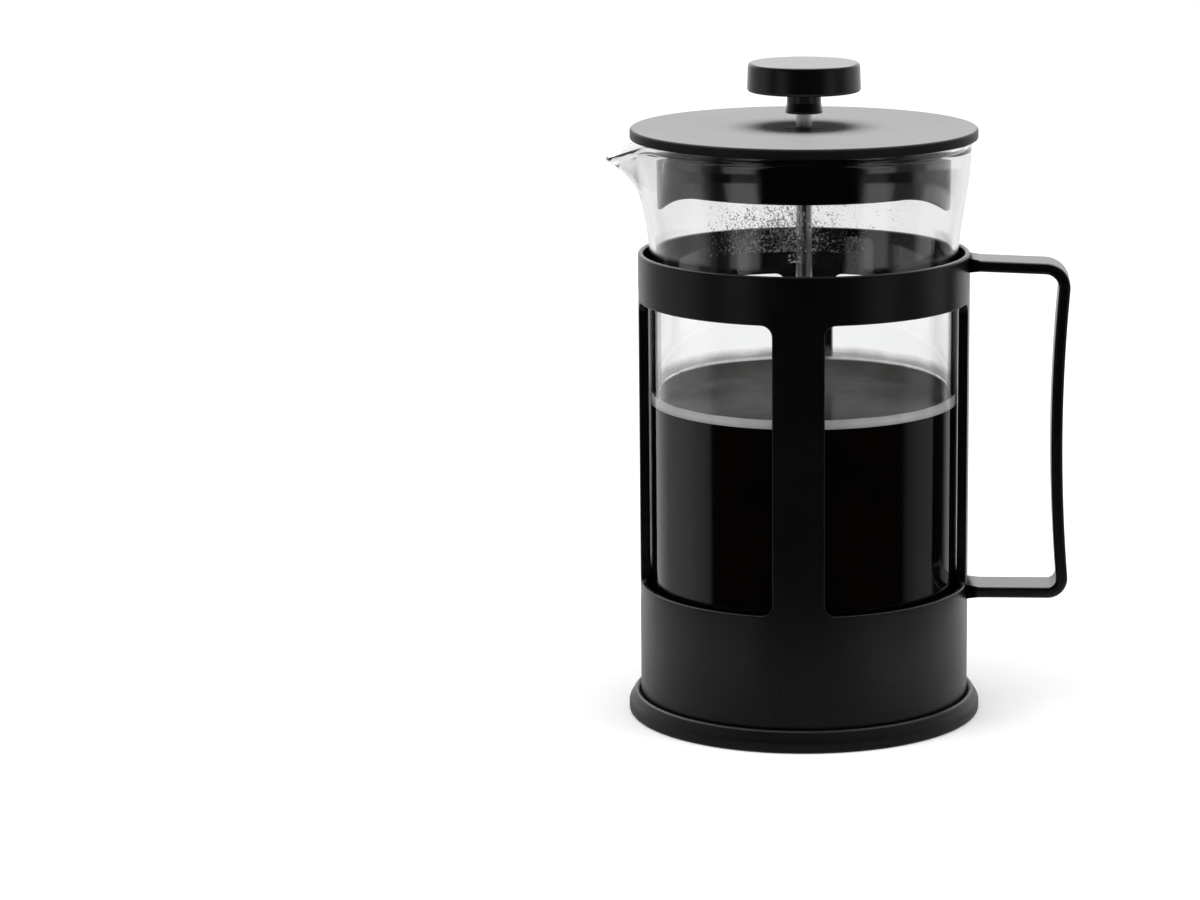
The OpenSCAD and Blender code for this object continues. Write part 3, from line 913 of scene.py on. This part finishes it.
def plunger_rod(bm):
    """Rod with a thinner threaded end for the hub and a threaded top for the knob."""
    r = radius("plunger_rod")
    end_r = 2 * MM
    foot, top = low("plunger_rod"), high("plunger_rod")
    shoulder = low("rod_collar")
    plain = low("knob") + 0.3 * MM

    def ring(rr, z):
        return [at(rr, a, z) for a in spread(ROD_SIDES)]

    rows = [ring(0, foot), ring(end_r - 0.3 * MM, foot)]
    rows += thread(end_r, 0.22 * MM, 0.7 * MM, foot + 0.3 * MM, shoulder - 0.1 * MM)
    rows += [ring(end_r, shoulder), ring(r - 0.2 * MM, shoulder), ring(r, shoulder + 0.2 * MM)]
    rows += [ring(r, shoulder + (plain - shoulder) * k / 8) for k in range(1, 9)]
    rows += thread(r, 0.25 * MM, 0.8 * MM, plain + 0.2 * MM, top - 0.5 * MM)
    rows += [ring(r - 0.4 * MM, top), ring(0, top)]
    skin(bm, rows)


def edge_spring():
    """The coil spring that presses the mesh against the glass, wound right round the filter."""
    lo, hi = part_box("edge_spring")
    wire = 0.3 * MM
    coil = (hi.z - lo.z) / 2 - wire
    ring_r = (hi.y - lo.y) / 2 - coil - wire
    turns, steps = 190, 12
    curve = bpy.data.curves.new("edge_spring_coil", "CURVE")
    curve.dimensions = "3D"
    curve.bevel_depth = wire
    curve.bevel_resolution = 1
    curve.use_fill_caps = False
    line = curve.splines.new("POLY")
    line.points.add(turns * steps - 1)
    for i in range(turns * steps):
        angle = 2 * math.pi * i / (turns * steps)
        twist = 2 * math.pi * i / steps
        p = at(ring_r + coil * math.cos(twist), angle, (lo.z + hi.z) / 2 + coil * math.sin(twist))
        line.points[i].co = (*p, 1)
    line.use_cyclic_u = True
    made = bpy.data.objects.new("edge_spring_coil", curve)
    bpy.context.scene.collection.objects.link(made)
    curve.materials.append(WIRE)
    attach(made, "plunger")
    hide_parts("edge_spring")


def filter_mesh(bm):
    """Woven disc with its edge turned up and gathered in small pleats."""
    r = radius("filter_mesh")
    bottom, top = low("filter_mesh"), high("filter_mesh")
    thick = 0.3 * MM
    bend = 1.0 * MM
    pleats = 96
    outline = rounded([(2.1 * MM, bottom, 0), (r, bottom, bend), (r, top, 0)], False, 5)
    inner = rounded([(2.1 * MM, bottom + thick, 0), (r - thick, bottom + thick, bend - thick),
                     (r - thick, top, 0)], False, 5)
    outline = outline[:1] + [(r * k / 6, bottom) for k in range(1, 6)] + outline[1:]
    inner = inner[:1] + [(r * k / 6, bottom + thick) for k in range(1, 6)] + inner[1:]
    rows = []
    for p in outline + inner[::-1]:
        share = blend((p[1] - bottom - 1 * MM) / (top - bottom - 1 * MM))
        rows.append([at(p[0] - 0.28 * MM * share * (1 + math.cos(pleats * a)) / 2, a, p[1])
                     for a in spread(pleats * 6)])
    skin(bm, rows, loop=True)


# ---------------------------------------------------------------- the object


piece("holder_body", holder, "holder", BLACK, ["holder_frame"])
piece("foot_bead", foot_ring, "holder", FOOT_BLACK, ["foot_ring"])
piece("handle_strap", handle, "holder", BLACK, ["handle"])
piece("beaker_glass", beaker, "beaker", GLASS, ["glass_beaker"], even=False)
piece("coffee_drink", coffee, "beaker", COFFEE)
piece("coffee_surface", coffee_top, "beaker", coffee_film("coffee_film"), even=False)
piece("coffee_froth_ring", coffee_ring, "beaker", FOAM, even=False)
piece("froth_back_line", froth_line, "beaker", froth_film("froth_film"), even=False)
piece("mist_film", mist, "beaker", steam_film("mist", *MIST_Z), even=False)
piece("condensation_back", back_drops, "beaker",
      condensation("back_drops", middle_x=AXIS - 9 * MM, half_width=32 * MM, bottom=145 * MM, top=162 * MM),
      even=False)
piece("condensation_front", front_drops, "beaker",
      condensation("front_drops", middle_x=AXIS, half_width=8 * MM, bottom=130 * MM, top=200 * MM),
      even=False)
lid_piece = piece("lid_disc", lid_cover, "lid", LID_BLACK, ["lid_cover"])
piece("lid_inner_skirt", lid_skirt, "lid", SKIRT_BLACK, ["lid_skirt"])
piece("knob_disc", knob, "plunger", KNOB_BLACK, ["knob"])
piece("rod", plunger_rod, "plunger", POLISHED, ["plunger_rod"], even=False)
piece("mesh_cup", filter_mesh, "plunger", WOVEN, ["filter_mesh"], even=False)
edge_spring()

# Nodes that are shown as they are packed, with the material and the softened edge of each
KEPT = {
    "rod_bushing": (LID_BLACK, 0.1 * MM),
    "bushing_clip": (WIRE, 0.12 * MM),
    "knob_insert": (BRASS, 0.15 * MM),
    "rod_collar": (POLISHED, 0.3 * MM),
    "collar_washer": (POLISHED, 0.12 * MM),
    "spring_plate": (SHEET, 0.15 * MM),
    "cross_plate": (SHEET, 0.15 * MM),
    "hub_nut": (POLISHED, 0.25 * MM),
}
for node, (material, edge) in KEPT.items():
    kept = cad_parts[node]
    kept.data.materials.clear()
    kept.data.materials.append(material)
    soften = kept.modifiers.new("soft_edges", "BEVEL")
    soften.width = edge
    soften.segments = 2
    soften.limit_method = "ANGLE"
    soften.angle_limit = math.radians(40)


# ---------------------------------------------------------------- studio


# The camera stands a little to the handle's side, looking slightly down: distance from the beaker's
# axis and height in metres
CAMERA_TURN = math.radians(1.9)
CAMERA_FAR = 1.2146
CAMERA_UP = 0.3375
CAMERA_TILT = math.radians(11.83)


def camera():
    data = bpy.data.cameras.new("camera")
    data.sensor_width = 36
    data.lens = 118.617
    data.shift_x = -0.17
    data.clip_end = 20
    made = bpy.data.objects.new("camera", data)
    aside, ahead = math.sin(CAMERA_TURN), math.cos(CAMERA_TURN)
    made.location = (AXIS + CAMERA_FAR * aside, -CAMERA_FAR * ahead, CAMERA_UP)
    made.rotation_euler = (math.pi / 2 - CAMERA_TILT, 0, CAMERA_TURN)
    bpy.context.scene.collection.objects.link(made)
    bpy.context.scene.camera = made


def floor():
    bm = bmesh.new()
    bmesh.ops.create_grid(bm, x_segments=8, y_segments=8, size=4)
    made = mesh_object("floor", bm)
    made.data.materials.append(pale_floor("pale_floor", 0.945, 0.965))
    made.visible_glossy = False
    made.visible_transmission = False


def floor_card():
    """What the base mirrors of the floor. Only reflections see it."""
    bm = bmesh.new()
    bmesh.ops.create_circle(bm, cap_ends=True, segments=96, radius=0.2)
    made = mesh_object("floor_card", bm)
    made.location = (AXIS, 0, -0.0005)
    made.data.materials.append(reflector_card("floor_card"))
    made.visible_camera = False
    made.visible_diffuse = False
    made.visible_transmission = False
    made.visible_shadow = False


# Studio panels round the object as (bearing in degrees from the camera, brightness): white at the back
# and sides, dark flags and soft strip lights on the camera's side. The lower ones show in the tall glass.
SKY_PANELS = [(-180, 1.4), (-140, 1.3), (-110, 0.5), (-60, 0.08), (-30, 0.02), (30, 0.02), (60, 0.08),
              (110, 0.5), (140, 1.3), (180, 1.4)]
PANELS = [(-180, 1.0), (-148, 0.9), (-130, 0.45), (-100, 0.5), (-82, 0.8), (-76, 0.5), (-71, 0.07),
          (-57, 0.06), (-54, 0.8), (-34, 0.8), (-30, 0.008), (43, 0.008), (49, 0.8), (66, 0.8),
          (70, 0.16), (93, 0.16), (99, 0.8), (120, 0.8), (148, 0.9), (180, 1.0)]
LOW_PANELS = [(-180, 1.0), (-140, 0.9), (-121, 0.5), (-95, 0.6), (-74, 0.4), (-70, 0.006), (80, 0.006),
              (86, 0.2), (98, 0.33), (113, 0.33), (117, 0.02), (130, 0.02), (138, 0.6), (150, 0.9),
              (180, 1.0)]
# Heights of a direction (its upward share) where the lower ring ends and where the sky ring begins
LOW_TOP, LOW_BOTTOM = -0.18, -0.25
SKY_BOTTOM = -0.06
TOP_PANEL = 6.0


def panel_ring(tree, bearing, panels):
    """Brightness of a ring of panels at a bearing that runs from 0 to 1."""
    ramp = add(tree, "ValToRGB", {0: bearing})
    stops = ramp.color_ramp.elements
    stops[0].position, stops[0].color = 0, grey(panels[0][1])
    stops[1].position, stops[1].color = 1, grey(panels[-1][1])
    for turn, level in panels[1:-1]:
        stops.new(0.5 + turn / 360).color = grey(level)
    return ramp.outputs[0]


def studio_world():
    """White for everything but reflections, which see the panels."""
    world = bpy.data.worlds.new("studio")
    bpy.context.scene.world = world
    world.use_nodes = True
    world.cycles.sampling_method = "NONE"
    tree = world.node_tree
    tree.nodes.clear()
    place = add(tree, "TexCoord").outputs["Generated"]
    axes = add(tree, "SeparateXYZ", {0: place})
    ahead = add(tree, "Math", {0: axes.outputs["Y"], 1: -1.0}, operation="MULTIPLY")
    angle = add(tree, "Math", {0: axes.outputs["X"], 1: ahead.outputs[0]}, operation="ARCTAN2")
    bearing = add(tree, "MapRange", {0: angle.outputs[0], 1: -math.pi, 2: math.pi}).outputs[0]
    below = add(tree, "MapRange", {0: axes.outputs["Z"], 1: LOW_TOP + 0.012, 2: LOW_TOP - 0.006})
    above = add(tree, "MapRange", {0: axes.outputs["Z"], 1: LOW_BOTTOM - 0.02, 2: LOW_BOTTOM})
    low_share = add(tree, "Math", {0: below.outputs[0], 1: above.outputs[0]}, operation="MULTIPLY")
    panels = add(tree, "Mix", {0: low_share.outputs[0], 6: panel_ring(tree, bearing, PANELS),
                               7: panel_ring(tree, bearing, LOW_PANELS)}, data_type="RGBA")
    lifted = add(tree, "MapRange", {0: axes.outputs["Z"], 1: SKY_BOTTOM, 2: SKY_BOTTOM + 0.04})
    open_air = add(tree, "Mix", {0: lifted.outputs[0], 6: panels.outputs[2],
                                 7: panel_ring(tree, bearing, SKY_PANELS)}, data_type="RGBA")
    leaning = {0: axes.outputs["Y"], 1: 0.5, 2: axes.outputs["Z"]}
    back_top = add(tree, "Math", leaning, operation="MULTIPLY_ADD")
    height = add(tree, "MapRange", {0: back_top.outputs[0], 1: 0.8, 2: 0.95})
    around = add(tree, "Mix", {0: height.outputs[0], 6: open_air.outputs[2], 7: grey(TOP_PANEL)},
                 data_type="RGBA")
    path = add(tree, "LightPath")
    mirror = add(tree, "Math", {0: path.outputs["Glossy Depth"], 1: 0.5}, operation="GREATER_THAN")
    direct = add(tree, "Math", {0: path.outputs["Diffuse Depth"], 1: 0.5}, operation="LESS_THAN")
    share = add(tree, "Math", {0: mirror.outputs[0], 1: direct.outputs[0]}, operation="MULTIPLY")
    seen = add(tree, "Background", {"Color": grey(1.0), "Strength": 1.06})
    mirrored = add(tree, "Background", {"Color": around.outputs[2], "Strength": 1.0})
    mix = add(tree, "MixShader", {0: share.outputs[0], 1: seen.outputs[0], 2: mirrored.outputs[0]})
    out = add(tree, "OutputWorld")
    tree.links.new(mix.outputs[0], out.inputs["Surface"])


def soft_light(name, place, size, power):
    """A rectangular light, size metres across, aimed at the middle of the press. Nothing mirrors it."""
    data = bpy.data.lights.new(name, "AREA")
    data.shape = "RECTANGLE"
    data.size, data.size_y = size
    data.energy = power
    made = bpy.data.objects.new(name, data)
    made.location = place
    aim = Vector((AXIS, 0, 0.1)) - made.location
    made.rotation_euler = aim.to_track_quat("-Z", "Y").to_euler()
    made.visible_camera = False
    made.visible_glossy = False
    made.visible_transmission = False
    bpy.context.scene.collection.objects.link(made)
    return made


def overhead_light(receivers):
    """Large softbox that only lights the given pieces, so high up that a raised lid stays as dark."""
    made = soft_light("overhead_light", (AXIS, 0, 4.645), (3.6, 3.6), 5200)
    lit = bpy.data.collections.new("overhead_lit")
    for receiver in receivers:
        lit.objects.link(receiver)
    made.light_linking.receiver_collection = lit


camera()
floor()
floor_card()
studio_world()
soft_light("key_light", (-1.2, -0.6, 1.6), (1.2, 1.2), 14)
soft_light("fill_light", (1.3, -0.3, 1.2), (1.2, 1.2), 10)
overhead_light([lid_piece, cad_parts["rod_bushing"]])
bpy.context.scene.view_settings.view_transform = "Standard"
